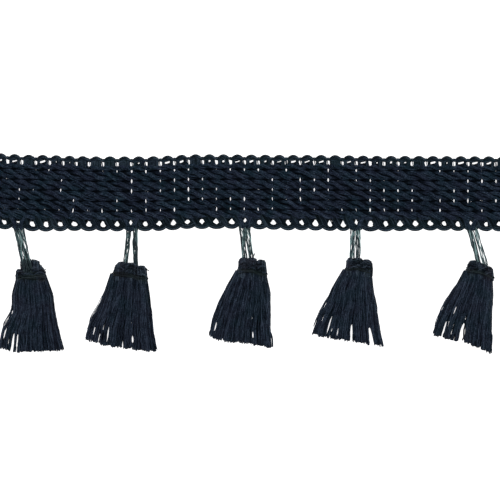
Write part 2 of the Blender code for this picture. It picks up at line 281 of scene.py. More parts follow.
def makeColourGroup():
    # shade of each yarn, mottled along its length and grained by its fine hairs
    inputs = {label: "Color" for label in ("Deep", "Main", "Light", "Tint", "Warm")}
    for label in ("Tint Share", "Spread", "Mottle", "Grain", "Groove", "Groove Share"):
        inputs[label] = "Float"
    group, given = addGroup("yarnColour", "ShaderNodeTree", inputs, {"Colour": "Color"})
    shade = 0.5
    for value, share in ((attribute(group, "shade"), "Spread"), (noise(group, 520, 3), "Mottle"),
                         (noise(group, 2300, 2), "Grain")):
        part = calculate(group, "MULTIPLY", calculate(group, "SUBTRACT", value, 0.5), given[share])
        shade = calculate(group, "ADD", part, shade)
    half = calculate(group, "MULTIPLY", shade, 2.0)
    colour = mixed(group, half, given["Deep"], given["Main"])
    colour = mixed(group, calculate(group, "SUBTRACT", half, 1.0), colour, given["Light"])
    patches = noise(group, 150, 2)
    for label, low, high in (("Tint", 0.5, 0.66), ("Warm", 0.5, 0.36)):
        spread = addNode(group, "ShaderNodeMapRange", {"Value": patches, "From Min": low, "From Max": high})
        share = calculate(group, "MULTIPLY", spread.outputs[0], given["Tint Share"])
        colour = mixed(group, share, colour, given[label])
    # painted shade: the ply grooves darken by their share
    grooveShade = calculate(group, "MULTIPLY", given["Groove"], given["Groove Share"])
    # painted shade: the darkness attribute and the groove shade mix the colour towards Deep; the attribute
    # holds painted shade of crevices, under layers and seams, and dark tone
    darkToneAndShade = calculate(group, "MAXIMUM", attribute(group, "dark"), grooveShade)
    addNode(group, "NodeGroupOutput", {"Colour": mixed(group, darkToneAndShade, colour, given["Deep"])})
    return group


twistGroup = makeTwistGroup()
colourGroup = makeColourGroup()


# what all yarns share, unless their own look says otherwise; grooveShare is how far the ply grooves are
# darkened as painted shade
yarnLook = {"plies": 2.0, "lead": 2.0 * mm, "fuzz": 0.5, "bump": 0.06 * mm, "grooveShare": 0.45,
            "tintShare": 0.4, "spread": 0.9, "mottle": 0.9, "grain": 1.2,
            "roughness": 0.55, "gloss": 0.08, "glossTint": (0.6, 0.8, 1.0)}


def yarnMaterial(name, **ownLook):
    look = {**yarnLook, **ownLook}
    material = bpy.data.materials.new(name)
    material.use_nodes = True
    tree = material.node_tree
    twist = addNode(tree, "ShaderNodeGroup", {}, node_tree=twistGroup)
    colour = addNode(tree, "ShaderNodeGroup", {}, node_tree=colourGroup)
    for socket in [*twist.inputs, *colour.inputs]:
        value = look.get(socket.name[0].lower() + socket.name[1:].replace(" ", ""))
        if value is not None:
            socket.default_value = (*value, 1) if isinstance(value, tuple) else value
    fillInputs(tree, colour, {"Groove": twist.outputs["Groove"]})
    bump = addNode(tree, "ShaderNodeBump", {"Height": twist.outputs["Height"], "Distance": look["bump"]})
    fillInputs(tree, tree.nodes["Principled BSDF"], {
        "Base Color": colour.outputs["Colour"], "Normal": bump.outputs["Normal"],
        "Roughness": look["roughness"], "Specular IOR Level": look["gloss"],
        "Specular Tint": (*look["glossTint"], 1)})
    return material


bodyYarn = yarnMaterial(
    "bodyYarn", fuzz=0.6, grooveShare=0.5, spread=0.62, grain=2.0, roughness=0.6, gloss=0.06,
    deep=(0.0014, 0.0026, 0.0048), main=(0.0180, 0.0300, 0.0535), light=(0.066, 0.094, 0.142),
    tint=(0.0095, 0.033, 0.046), warm=(0.023, 0.025, 0.050))
fringeYarn = yarnMaterial(
    "fringeYarn", lead=2.4 * mm, tintShare=0.35, mottle=0.6, grain=1.5,
    deep=(0.0018, 0.0032, 0.0058), main=(0.0148, 0.0232, 0.0400), light=(0.062, 0.084, 0.128),
    tint=(0.009, 0.027, 0.037), warm=(0.021, 0.021, 0.039))
edgeThread = yarnMaterial(
    "edgeThread", lead=1.6 * mm, bump=0.05 * mm, spread=0.95, glossTint=(0.6, 0.9, 1.0),
    deep=(0.0014, 0.0028, 0.0042), main=(0.0150, 0.0255, 0.0385), light=(0.054, 0.082, 0.114),
    tint=(0.010, 0.030, 0.039), warm=(0.017, 0.023, 0.044))
headYarn = yarnMaterial(
    "headYarn", fuzz=0.6, bump=0.07 * mm, grooveShare=0.6, tintShare=0.5, mottle=1.1,
    roughness=0.6, gloss=0.06, glossTint=(0.7, 0.8, 1.0),
    deep=(0.0016, 0.0026, 0.0042), main=(0.0290, 0.0430, 0.0660), light=(0.092, 0.124, 0.168),
    tint=(0.020, 0.040, 0.045), warm=(0.039, 0.035, 0.048))
# the Light colour is painted highlight: the glints and the light through the glossy loop threads
loopThread = yarnMaterial(
    "loopThread", lead=1.4 * mm, fuzz=0.2, bump=0.03 * mm, grooveShare=0.2, tintShare=0.3, spread=1.0,
    mottle=1.7, grain=0.6, roughness=0.35, gloss=0.5, glossTint=(0.8, 1.0, 1.0),
    deep=(0.004, 0.011, 0.017), main=(0.026, 0.058, 0.068), light=(0.32, 0.49, 0.49),
    tint=(0.02, 0.07, 0.07), warm=(0.04, 0.06, 0.09))
bindingThread = yarnMaterial(
    "bindingThread", lead=1.2 * mm, fuzz=0.3, bump=0.04 * mm, grooveShare=0.4, tintShare=0.5, spread=1.0,
    grain=1.0, glossTint=(0.8, 1.0, 0.9),
    deep=(0.0010, 0.0016, 0.0020), main=(0.0140, 0.0215, 0.0260), light=(0.046, 0.060, 0.070),
    tint=(0.010, 0.022, 0.022), warm=(0.0185, 0.0175, 0.0225))


# Heading
heading = {
    "rowEdges": [163.2, 170.4, 180.5, 190.6, 200.6, 210.6, 220.4],   # pixels at no drift
    "rowLift": 1.5 * mm, "rowDepth": 0.62 * mm, "rowTop": 2.95 * mm, "plies": 3, "columnsPerTurn": 3,
    "rowTurn": 0.5, "yarnsPerPly": 9, "plyRadius": 0.72 * mm, "yarnRadius": 0.31 * mm,
    "thinYarns": 6, "thinShare": 0.6,                                # the first row is thinner
    "insideRadius": 0.55 * mm, "chainRadius": 0.36 * mm,
}
# places along the heading between two columns of stitches
stitchShares = np.array([-0.38, -0.155, -0.075, 0.0, 0.075, 0.155, 0.38])
# open stitches of each row of holes, column by column from the left: wide, small, faint or shut
holeRows = {
    170.5: "o.-.o---.oOOooo-.ooO-O--O-O--.--ooo..o",
    180.6: "-.---o----O-oOoo----o-OoO-oo..----oOO-",
    190.4: ".-o.-o----O.oOOoo--.o.OOo--oooo--oo--.",
    200.2: "o-o---o--o-O-.OooOO-O.O-.--oooo-OoO.oo",
    210.0: "...-..O.OooOoO.-OooOo--..ooOooo-O--o-o",
}
holeSizes = {"O": (0.26, 0.82), "o": (0.21, 0.62), ".": (0.08, 0.34), "-": (0.0, 0.0)}
topHole = {"y": 163.6, "wide": 0.6, "tall": 0.9}
# how far each slot between two top holes stands open, column by column, 0 is shut
slotMarks = "25071100001054022542455504512206176530"
# eyes of the lower edge, sizes in pixels
eyes = {
    "x": [4.3, 18.4, 32.7, 46.3, 60.5, 74.6, 89.1, 103.3, 117.2, 130.9, 145.6, 159.2, 173.5, 187.5,
          202.0, 216.5, 231.9, 244.9, 259.3, 273.3, 288.2, 301.5, 315.2, 329.8, 343.1, 355.8, 370.2,
          385.9, 399.8, 415.2, 430.1, 443.7, 457.6, 470.4, 486.2, 498.3],
    "y": [222.8, 221.8, 223.5, 224.0, 223.5, 223.3, 223.4, 223.8, 223.4, 222.0, 223.5, 223.1, 223.4,
          223.2, 222.8, 222.6, 223.1, 221.2, 223.6, 223.3, 223.3, 223.2, 223.9, 224.0, 224.2, 221.8,
          223.9, 223.2, 223.3, 223.1, 222.8, 223.2, 224.0, 222.2, 223.9, 222.9],
    "wide": [3.6, 2.4, 4.6, 4.8, 5.2, 6.4, 5.6, 4.8, 5.2, 1.8, 4.6, 5.6, 5.2, 6.0, 4.8, 6.4, 6.0,
             1.8, 4.0, 5.6, 4.6, 4.4, 6.2, 4.4, 5.6, 1.6, 5.0, 4.0, 6.6, 5.6, 5.6, 4.2, 5.0, 1.8,
             3.4, 4.2],
    "tall": [4.6, 4.6, 4.6, 4.6, 4.0, 4.8, 5.0, 5.2, 4.2, 5.0, 3.8, 3.8, 5.2, 3.2, 3.8, 4.8, 5.4,
             4.4, 3.6, 4.0, 4.2, 4.2, 4.8, 4.8, 5.0, 5.0, 4.2, 3.6, 5.2, 5.0, 5.2, 4.2, 4.8, 5.2,
             3.4, 4.0],
    "lean": [0.6, 0.2, 0.5, 0.5, 0.3, 0.2, 0.2, 0.3, 0.2, 0.1, 0.3, 0.0, -0.2, -0.1, -0.1, 0.0, 0.2,
             -0.1, 0.0, 0.0, 0.4, 0.6, 0.3, 0.2, 0.2, 0.0, 0.1, 0.3, -0.1, 0.0, 0.2, 0.5, 0.4, 0.0,
             0.3, -0.2],
    "loops": [1, 9, 17, 25, 33],                     # those above a loop
    "point": 1.6, "squash": 0.92, "spare": 0.55, "parting": 0.2,
    "flares": [0.45, 0.0, 0.55, 0.7, 0.6, 0.35, 0.7, 0.75, 0.45, -0.1, 0.3, 0.55],   # wider below
}
eyeSpots = list(zip(*(eyes[key] for key in ("x", "y", "wide", "tall", "lean"))))


def listHoles():
    # every opening that yarns part around: its place, and half its width and height in mm
    holes = []
    for y, marks in holeRows.items():
        for number, mark in enumerate(marks):
            wide, tall = holeSizes[mark]
            if wide:
                holes.append((columnX(number), y, wide * between(0.8, 1.2), tall * between(0.8, 1.2)))
    for number in range(columns["count"]):
        holes.append((columnX(number), topHole["y"], topHole["wide"], topHole["tall"]))
    return holes + [(spotX(x), y, wide * eyes["parting"], tall * eyes["parting"])
                    for x, y, wide, tall, lean in eyeSpots]


openHoles = listHoles()
lineColumns = np.concatenate([number + stitchShares for number in range(columns["count"])])
lineX = columnX(lineColumns)
lineInside = (lineX > bandStart) & (lineX < bandEnd)
lineColumns, lineX = lineColumns[lineInside], lineX[lineInside]
lineDrift = driftAt(lineX)


def partRoundHoles(y, radius):
    # yarns bend above and below every open stitch
    for holeX, py, wide, tall in openHoles:
        away = (lineX - holeX) / ((wide + 0.2) * mm + radius * 0.6)
        near = np.abs(away) < 1
        if near.any():
            offset = y[near] - (spotY(py) + lineDrift[near])
            need = tall * mm * np.sqrt(1 - away[near] ** 2) + radius
            pushed = np.sign(offset + 1e-9) * np.sqrt(offset**2 + need**2)
            y[near] += (pushed - offset) * (1 - smoothStep((np.abs(offset) / mm - 1.3) / 1.2))
    return y


def paintedCreviceShade(z, top):
    # painted shade: yarn lying deep between others is darker
    return 0.92 * smoothStep((top * mm - z) / (0.7 * mm))


def buildRow(index):
    yarns = Yarns()
    upper, lower = (spotY(v) for v in heading["rowEdges"][index:index + 2])
    centre, half = (upper + lower) / 2, (upper - lower) / 2
    thin = index == 0
    perPly = heading["thinYarns"] if thin else heading["yarnsPerPly"]
    ringRadius = heading["plyRadius"] * (heading["thinShare"] if thin else 1.0)
    reach = half - ringRadius - heading["yarnRadius"] * 0.36
    rowTurn = heading["rowTurn"] + between(-0.25, 0.25)
    for ply in range(heading["plies"]):
        turn = 2 * math.pi * (lineColumns / heading["columnsPerTurn"] + ply / heading["plies"]) + rowTurn
        turn = turn + wander(lineX, 31 * mm, 0.3)
        cross = np.tanh(1.5 * np.cos(turn)) / math.tanh(1.5)
        plyY = centre + reach * cross + wander(lineX, 23 * mm, 0.1 * mm)
        plyZ = heading["rowLift"] + heading["rowDepth"] * np.sin(turn)
        # a strand is fullest on top of the row and slim where it dives under the next
        full = 0.62 + 0.38 * smoothStep(np.sin(turn) * 0.5 + 0.65)
        full = full * (1 + wander(lineX, 26 * mm, 0.16))
        plyShade = between(0.42, 0.62)
        for k in range(perPly):
            twist = 2 * math.pi * (k / perPly + lineX / (30 * mm)) + wander(lineX, 17 * mm, 0.4)
            ring = ringRadius * (1 + wander(lineX, 9 * mm, 0.14)) * full
            radius = heading["yarnRadius"] * between(0.85, 1.12)
            y = plyY + lineDrift + ring * np.cos(twist) + wander(lineX, 5 * mm, 0.06 * mm)
            if thin:
                ripple = 0.5 * pixel * np.sin(2 * math.pi * lineColumns)
                y = y - ripple * smoothStep((y - lineDrift - centre) / half)
            y = partRoundHoles(y, radius * 0.8)
            z = np.clip(plyZ + ring * np.sin(twist) * 0.9, radius, heading["rowTop"] - radius * 0.5)
            # painted shade: yarns lying low in the row are darker
            yarns.add(joined(lineX + leanAt(lineX, y), y, z), radius, plyShade + between(-0.25, 0.25),
                      paintedCreviceShade(z, 2.15 if thin else 2.3))
    # packed yarns inside the row, near-black as painted shade between the plies
    for share in (-0.5, 0.0, 0.5):
        y = partRoundHoles(centre + lineDrift + share * half, 0.4 * mm)
        yarns.add(joined(lineX + leanAt(lineX, y), y, 0.95 * mm), heading["insideRadius"], 0.1, 0.9)
    # near-black chain threads along the lower side of the row; their darkness is painted shade for the
    # groove between rows
    for share in (-0.45, 0.1, 0.6):
        y = partRoundHoles(lower + lineDrift + share * mm, 0.3 * mm)
        z = 0.95 * mm + wander(lineX, 5 * mm, 0.2 * mm)
        yarns.add(joined(lineX + leanAt(lineX, y), y, z), heading["chainRadius"], 0.05, 0.9)
    yarns.make("row_%d" % (index + 1), 4, bodyYarn, ("heading",))


# a stitch bows round one side of an open stitch: its points across and along, and its height in mm
chainStitch = {"across": np.array([0.2, 0.75, 1.0, 0.75, 0.2]), "along": np.array([1, 0.75, 0, -0.75, -1]),
               "past": np.array([1.3, 0, 0, 0, -1.3]), "lift": [1.7, 1.9, 1.9, 1.9, 1.7],
               "radius": (0.22, 0.28), "margin": 1.5 * mm}


def buildChainStitches():
    # short dark threads squeeze every open stitch into a slit
    yarns = Yarns()
    for (x0, py, wide, tall), side in product(openHoles, (-1, 1)):
        inRows = topHole["y"] < py < heading["rowEdges"][-1]
        if inRows and insideBand([x0 - chainStitch["margin"], x0 + chainStitch["margin"]]):
            line = through(joined(side * (wide + 0.25) * chainStitch["across"],
                                  tall * chainStitch["along"] + chainStitch["past"],
                                  chainStitch["lift"]), 11) * mm
            line[:, 0] += x0 + chance.normal(0, 0.04) * mm
            line[:, 1] += spotY(py) + driftAt(x0)
            line[:, 0] += leanAt(line[:, 0], line[:, 1])
            yarns.add(line, between(*chainStitch["radius"]) * mm, dark=0.6)
    yarns.make("chain_stitches", 4, bodyYarn)


# the cord of the top edge, and the stitches beside each top hole, in pixels and their heights in mm
topEdge = {"crest": 159.0, "bump": 3.3, "bumpHalf": 0.38, "hump": 0.8, "humpHalf": 0.14, "base": 160.9,
           "threads": 9, "darkThreads": (2, 5), "cordRadius": (0.26, 0.32),
           "holeHalf": 2.05, "addFrom": 2.2, "stitchGap": 0.72, "stitchRadius": (0.24, 0.3),
           "stitchAcross": np.array([1.7, 1.1, 1.0, 1.05, 1.5]),
           "stitchY": [158.0, 160.2, 163.0, 166.0, 168.8],
           "stitchLift": np.array([1.5, 1.9, 1.7, 1.9, 1.6]),
           "slots": ([0, 1, 5, 7], [-0.6, 2.4, 5.8, 6.8])}       # a slot's mark, and its width


def buildTopEdge():
    yarns = Yarns()
    # running cord with a bump between each pair of columns and a low hump over each hole
    fine = np.arange(-0.5, columns["count"] - 0.5, 0.0625)
    x = columnX(fine)
    keep = (x > bandStart) & (x < bandEnd)
    fine, x = fine[keep], x[keep]
    share = fine - np.floor(fine)
    bump = np.clip(1 - ((share - 0.5) / topEdge["bumpHalf"]) ** 2, 0, 1) ** 0.8
    hump = np.exp(-((share - np.round(share)) / topEdge["humpHalf"]) ** 2)
    crest = topEdge["crest"] - topEdge["bump"] * bump - topEdge["hump"] * hump
    base = topEdge["base"] + 0.3 * bump + 0.65 * np.sin(2 * math.pi * share) + wander(x, 13 * mm, 0.3)
    for k in range(topEdge["threads"]):
        level = k / (topEdge["threads"] - 1)
        radius = between(*topEdge["cordRadius"]) * mm
        cross = wander(x, 8 * mm, 0.14 * mm) * (k > 0)
        y = spotY(crest + 0.6 + (base - crest - 0.6) * level) + driftAt(x) + cross
        z = (1.2 + 0.75 * math.sin(math.pi * (0.15 + 0.7 * level))) * mm
        z = z + 0.22 * mm * np.cos(2 * math.pi * fine + k * 2.4)
        arc = 0.75 * bump * (k in topEdge["darkThreads"])
        # painted shade: threads lying low in the cord are darker
        yarns.add(joined(x, y, z), radius, dark=np.maximum(paintedCreviceShade(z, 1.9), arc))
    # stitches on both sides of each top hole, from the cord down into the first row
    half = topEdge["holeHalf"]
    for number, side in product(range(columns["count"]), (-1, 1)):
        x0 = columnX(number)
        mark = int(slotMarks[max(0, number - 1 if side < 0 else number)])
        reach = (columns["pitch"] - np.interp(mark, *topEdge["slots"])) / 2
        threads = max(2, math.ceil((reach - topEdge["addFrom"]) / topEdge["stitchGap"]) + 1)
        for k in range(threads):
            off = side * (half + (reach - half) * k / (threads - 1)) + between(-0.12, 0.12)
            x = x0 + off * topEdge["stitchAcross"] * pixel
            if insideBand(x):
                knots = joined(x, spotY(topEdge["stitchY"]) + driftAt(x0), topEdge["stitchLift"] * mm)
                yarns.add(through(knots, 9), between(*topEdge["stitchRadius"]) * mm, dark=0.25)
    yarns.make("top_edge", 4, edgeThread)


def aroundEyes(px, py, spare):
    # points inside an eye move out to its rim
    power = eyes["point"]
    for k, (x, y, wide, tall, lean) in enumerate(eyeSpots):
        down = py - y
        halfTall = tall * eyes["squash"] / 2
        across = px - x - lean * down
        flare = 1 + eyes["flares"][k % len(eyes["flares"])] * np.clip(down / halfTall, -1, 1)
        far = (np.abs(across / (wide / 2 * flare + spare + 0.1)) ** power
               + np.abs(down / (halfTall + spare + 0.1)) ** power) ** (1 / power)
        out = np.where(far < 1, 1 / np.maximum(far, 0.12), 1.0)
        px = x + lean * down * out + across * out
        py = y + down * out
    return px, py


def edgeLine(px, py, z, count):
    # a thread of the lower edge through points in pixels, kept out of the eyes
    line = through(joined(px, py, z), count)
    x, y = aroundEyes(line[:, 0], line[:, 1], eyes["spare"])
    place = spotX(x)
    y = y + np.interp(place / mm, lowEdge["x"], lowEdge["hang"]) * smoothStep((y - 216) / 9)
    return joined(place, spotY(y) + driftAt(place), line[:, 2] * mm)


# Scallops: places in pixels, heights in mm. "across" runs from valley (-1) to valley (1), and "fall"
# is how far a thread rises there, up to 1 as a share of its hang and past 1 in pixels more.
scallops = {"bottom": 230.0, "hang": (2.3, 3.2), "step": 0.78, "radius": (0.22, 0.28), "endWidth": 7.0,
            "across": np.array([-1.55, -1.25, -0.98, -0.75, -0.4, 0, 0.4, 0.75, 0.98, 1.25, 1.55]),
            "fall": np.array([7.5, 4.2, 0.98, 0.5, 0.12, 0, 0.12, 0.5, 0.98, 4.2, 7.5]),
            # shade and darkness of the threads, from the outer edge in
            "looks": [(0.3, 0.5), (0.95, 0.0), (0.8, 0.05), (0.0, 0.9), (0.8, 0.05), (0.2, 0.6)],
            "wallThreads": 9, "wallStep": 1.1, "wallRadius": (0.22, 0.3),
            "wallX": np.array([-4.0, -2.6, -0.6, 1.2, 2.2]),
            "wallY": np.array([215.5, 218.3, 221.6, 224.8, 226.9]),
            "wallLift": np.array([1.4, 1.7, 1.75, 1.7, 1.5]),
            "cornerX": np.array([4.2, 2.2, 0.9, -1.2]), "cornerY": np.array([224.6, 221.6, 219.8, 217.4]),
            "cornerRadius": (0.2, 0.26)}


def buildScallops():
    yarns = Yarns()
    centres, across = eyes["x"], scallops["across"]
    valleys = [(a + b) / 2 for a, b in zip(centres, centres[1:])]
    valleys = [centres[0] - scallops["endWidth"], *valleys, centres[-1] + scallops["endWidth"]]
    # long threads hang from valley to valley and cross their neighbours there
    for k, centre in enumerate(centres):
        reach = np.where(across < 0, centre - valleys[k], valleys[k + 1] - centre)
        deep = between(-0.2, 0.35) - (0.4 if k in eyes["loops"] else 0.0)
        hang = between(*scallops["hang"])
        for thread, (shade, darkToneAndShade) in enumerate(scallops["looks"]):
            drop = hang + 0.25 * thread + between(-0.15, 0.15)
            fall = np.where(scallops["fall"] <= 1, scallops["fall"] * drop, scallops["fall"] + drop - 1)
            py = scallops["bottom"] + deep - scallops["step"] * thread - fall
            z = 1.35 + 0.5 * np.cos(across * 1.3) - 0.35 * (np.abs(across) > 1.1) + 0.12 * thread
            z = z + between(-0.12, 0.12)
            line = edgeLine(centre + reach * across * (1.0 + 0.03 * thread), py, z, 25)
            if insideBand(line[:, 0]):
                yarns.add(line, between(*scallops["radius"]) * mm, shade + between(-0.15, 0.15), darkToneAndShade)
    # slanting threads fill the walls between the eyes, two layers; painted shade makes the upper layer
    # darker towards its top under the last row, and the lower layer dark throughout
    for valley, layer, thread in product(valleys, (0, 1), range(scallops["wallThreads"])):
        shift = scallops["wallStep"] * (thread - 4) + between(-0.3, 0.3)
        px = valley + shift + (2 * layer - 1) * scallops["wallX"]
        py = scallops["wallY"] + between(-0.4, 0.4)
        z = scallops["wallLift"] + (0.45 if layer else -0.35)
        line = edgeLine(px, py, z + between(-0.12, 0.12), 12)
        if insideBand(line[:, 0]):
            darkToneAndShade = np.clip(np.linspace(0.85, 0.05, 12) + between(-0.25, 0.25), 0, 0.9)
            yarns.add(line, between(*scallops["wallRadius"]) * mm, dark=darkToneAndShade if layer else 0.75)
    # a thread or two slants across a corner of an eye
    for k, centre in enumerate(centres):
        for extra in range(chance.integers(0, 3)):
            side = chance.choice([-1, 1])
            x = spotX(centre + side * scallops["cornerX"] + chance.normal(0, 0.3, 4))
            py = scallops["cornerY"] + chance.normal(0, 0.35, 4)
            if insideBand(x) and k not in eyes["loops"]:
                line = through(joined(x, spotY(py) + driftAt(x), 1.7 * mm), 9)
                yarns.add(line, between(*scallops["cornerRadius"]) * mm, dark=0.3)
    yarns.make("scallops", 4, edgeThread)


# yarns that draw in above a loop: half their spread, its growth outwards and their places, in pixels
necks = {"threads": 7, "half": np.array([7.6, 5.6, 2.4, 1.0, 0.3]),
         "grow": np.array([3.0, 2.6, 3.6, 3.6, 3.6]), "cross": np.array([0, 0, 0, 1, 1]),
         "y": (215.4, 217.6, 221.4, 226.4), "low": 230.0,
         "lift": np.array([0.9, 1.3, 1.5, 1.5, 1.3]), "layerLift": 0.42, "radius": (0.26, 0.33)}


def buildNecks():
    # yarns of the last row draw in above every loop
    yarns = Yarns()
    for number, layer, side, k in product(eyes["loops"], range(3), (-1, 1), range(necks["threads"])):
        share = (k + between(0.2, 0.8)) / necks["threads"]
        half = necks["half"] + necks["grow"] * share - necks["cross"] * between(-0.8, 1.6)
        low = necks["low"] - 1.4 * share**2 + between(-0.4, 0.3)
        line = edgeLine(eyes["x"][number] + side * half, [*necks["y"], low],
                        necks["lift"] + layer * necks["layerLift"], 13)
        # painted shade: the lower layers are darker
        yarns.add(line, between(*necks["radius"]) * mm, dark=0.6 - 0.25 * layer)
    yarns.make("necks", 4, bodyYarn)


# Tassels, sizes in mm, listed from the left; slits and tails are given in pixels
# a lobe is its start and end across the head, the height of its top at both ends and its roundness
# a slit is its middle, half its height and its width, a tail is its start and its end
tassels = [
    {"loopTop": -92.7, "legWide": (0.95, 0.7), "legSpread": 1.9, "feet": (-89.1, -87.2), "footLift": 6.1,
     "filaments": 13, "fuller": (3, 0),
     "head": (-93.4, -81.4), "inset": (0.1, 0.0), "neck": (-9.8, -9.8),
     "lobes": ((0.0, 0.2, -6.2, -6.3, 0.8), (0.17, 0.5, -4.9, -4.7, 0.4), (0.47, 0.8, -2.2, -2.9, 0.45),
               (0.65, 1.0, -2.9, -6.4, 0.2)),
     "band": {"wraps": 9, "spacing": 0.28, "cross": 1.7, "radius": 0.2,
              "shares": (0, 1), "steps": (0.7, 0.7)}, "knots": 20,
     "left": (-93.0, -95.2, -95.2, -98.9, -100.2), "right": (-81.2, -78.4, -77.8, -76.4, -75.0),
     "tips": (-37.6, -39.4, -39.2, -39.0, -38.8),
     "slits": ((12.8, 345, 13, 2.7), (17.3, 343, 10, 1.9), (19.2, 318, 5, 1.0), (4.5, 331, 8, 1.7),
               (11.8, 311, 5, 1.1), (8.6, 342, 7, 1.0)),
     "tails": ((43.0, 273.0, 46.4, 271.2),),
     "fan": {"threads": 19, "lift": (5.2, 5.9, 6.2), "y": (258.6, 263.0, 269.5), "top": (22.6, 31.0),
             "middle": (22.2, 31.8), "end": (21.8, 32.2), "gap": (26.8, 261.8, 1.9)}},
    {"loopTop": -47.1, "legWide": (0.8, 0.68), "legSpread": 2.3, "feet": (-49.9, -45.5), "footLift": 3.4,
     "filaments": 16, "fuller": (0, 5),
     "head": (-54.8, -40.8), "inset": (1.3, 0.4), "neck": (-8.6, -10.2),
     "lobes": ((0.0, 0.38, -3.4, -3.2, 1.1), (0.34, 0.69, -3.7, -3.7, 0.4), (0.67, 1.0, -4.9, -4.8, 1.5)),
     "band": {"wraps": 6, "spacing": 0.3, "cross": 0.9, "radius": 0.165,
              "shares": (0, 0.5, 0.6, 0.7, 1), "steps": (0.1, 0.6, 0.3, -0.1, 0.0)}, "knots": 18,
     "left": (-55.6, -58.0, -60.4, -64.0, -65.6), "right": (-41.2, -40.0, -39.2, -38.4, -37.4),
     "tips": (-34.4, -36.6, -37.6, -38.6, -39.4),
     "slits": ((104.8, 324, 9, 1.7), (107.6, 334, 8, 1.9), (99.5, 337, 5, 1.3), (94.0, 330, 5, 1.0),
               (133.0, 340, 4, 1.8), (102.8, 336, 5, 1.2)),
     "tails": ((117.0, 274.6, 112.6, 273.2), (146.0, 268.5, 149.3, 270.6))},
    {"loopTop": -2.2, "legWide": (1.1, 0.8), "legSpread": 1.8, "feet": (-1.8, 1.1), "footLift": 3.4,
     "filaments": 13, "fuller": (2, 1),
     "head": (-5.0, 6.8), "inset": (0.4, 0.3), "neck": (-7.4, -9.0),
     "lobes": ((0.0, 0.34, -1.7, -1.6, 0.5), (0.3, 0.66, -1.65, -1.75, 0.45),
               (0.63, 1.0, -2.45, -2.5, 0.9)),
     "band": {"wraps": 5, "spacing": 0.3, "cross": 0.7, "radius": 0.17,
              "shares": (0, 0.45, 0.6, 0.7, 1), "steps": (0.5, 1.2, 0.8, 0.3, 0.6)}, "knots": 20,
     "left": (-5.6, -9.6, -12.4, -14.8, -16.2), "right": (6.6, 8.4, 8.4, 8.4, 8.8),
     "tips": (-33.4, -35.2, -35.6, -36.6, -37.8),
     "slits": ((215.0, 327, 5, 1.2), (223.0, 333, 3, 0.9), (252.5, 319, 3, 0.7), (253.0, 335, 4, 1.2)),
     "tails": ((252.6, 257.4, 254.8, 253.6),)},
    {"loopTop": 42.0, "legWide": (0.85, 0.72), "legSpread": 2.1, "feet": (40.8, 43.1), "footLift": 3.4,
     "filaments": 13, "fuller": (1, 1),
     "head": (38.0, 48.8), "inset": (0.5, 0.0), "neck": (-7.0, -7.6),
     "lobes": ((0.0, 0.29, -1.7, -1.8, 0.5), (0.26, 0.63, -1.7, -1.75, 0.45), (0.6, 1.0, -2.3, -2.5, 0.6)),
     "band": {"wraps": 5, "spacing": 0.3, "cross": 0.7, "radius": 0.17,
              "shares": (0, 0.2, 0.46, 0.69, 1), "steps": (0.5, 0.8, 1.3, 0.6, 0.4)}, "knots": 18,
     "left": (37.2, 33.2, 30.6, 27.4, 25.0), "right": (48.4, 49.4, 50.8, 51.6, 53.2),
     "tips": (-32.2, -34.0, -34.8, -36.0, -37.0),
     "slits": ((328.8, 325, 10, 1.6), (337.0, 333, 5, 0.9), (351.0, 339, 16, 2.4), (371.3, 342, 17, 4.2),
               (322.5, 318, 6, 0.9)),
     "tails": ((368.0, 268.0, 372.6, 269.0),)},
    {"loopTop": 88.6, "legWide": (0.9, 0.75), "legSpread": 2.2, "feet": (92.0, 94.7), "footLift": 3.4,
     "filaments": 10, "fuller": (7, 0),
     "head": (86.2, 97.2), "inset": (0.6, 0.5), "neck": (-7.4, -9.6),
     "lobes": ((0.0, 0.42, -2.9, -2.6, 1.1), (0.36, 0.79, -3.1, -4.7, 0.5), (0.73, 1.0, -5.2, -5.2, 1.0)),
     "band": {"wraps": 5, "spacing": 0.28, "cross": 0.6, "radius": 0.17,
              "shares": (0, 0.45, 0.75, 1), "steps": (0.6, 0.8, 0.25, -0.3)}, "knots": 16,
     "left": (85.4, 82.0, 78.4, 75.4, 73.4), "right": (96.7, 97.3, 96.9, 96.6, 96.4),
     "tips": (-32.0, -34.4, -35.2, -37.4, -40.0),
     "slits": ((454.0, 310, 6, 1.7), (446.5, 327, 7, 1.7), (452.0, 330, 6, 1.5), (443.5, 329, 9, 1.7),
               (465.0, 320, 8, 1.6), (461.0, 339, 17, 6.0)),
     "tails": ((484.0, 274.6, 493.8, 278.0),)},
]
# strands of a skirt: "levels" are their layers, from 0 underneath to 1 on top, and "thick" is how thick
# the skirt lies along its length, in mm
fringe = {"columns": 55, "levels": (0.0, 0.4, 0.75, 1.0, 1.0), "points": 20, "yarnRadius": 0.235,
          "thick": ([0, 0.3, 0.65, 1], [5.4, 5.9, 4.6, 3.2]), "neckDepth": 1.9, "neckLift": 3.3,
          "packed": 40, "packedRadius": 0.42, "looseThreads": 14, "looseRadius": (0.1, 0.15)}
quarters = np.array([0, 0.25, 0.5, 0.75, 1.0])


def spotMm(px, py):
    return spotX(px) / mm, spotY(py) / mm


def neckAt(t, share):
    left, right = t["neck"]
    return left + (right - left) * share


def headShare(t, x):
    left, right = t["head"]
    return (x - left) / (right - left)


def slitShare(t, x, y):
    # the share across the skirt of the strand that runs through this place
    share = 0.5
    for again in range(4):
        root = neckAt(t, share) + 0.5
        reach = np.clip((y - root) / (np.interp(share, quarters, t["tips"]) - root), 0, 1)
        left, right = (np.interp(reach, quarters, t[key]) for key in ("left", "right"))
        share = np.clip((x - left) / (right - left), 0, 1)
    return share


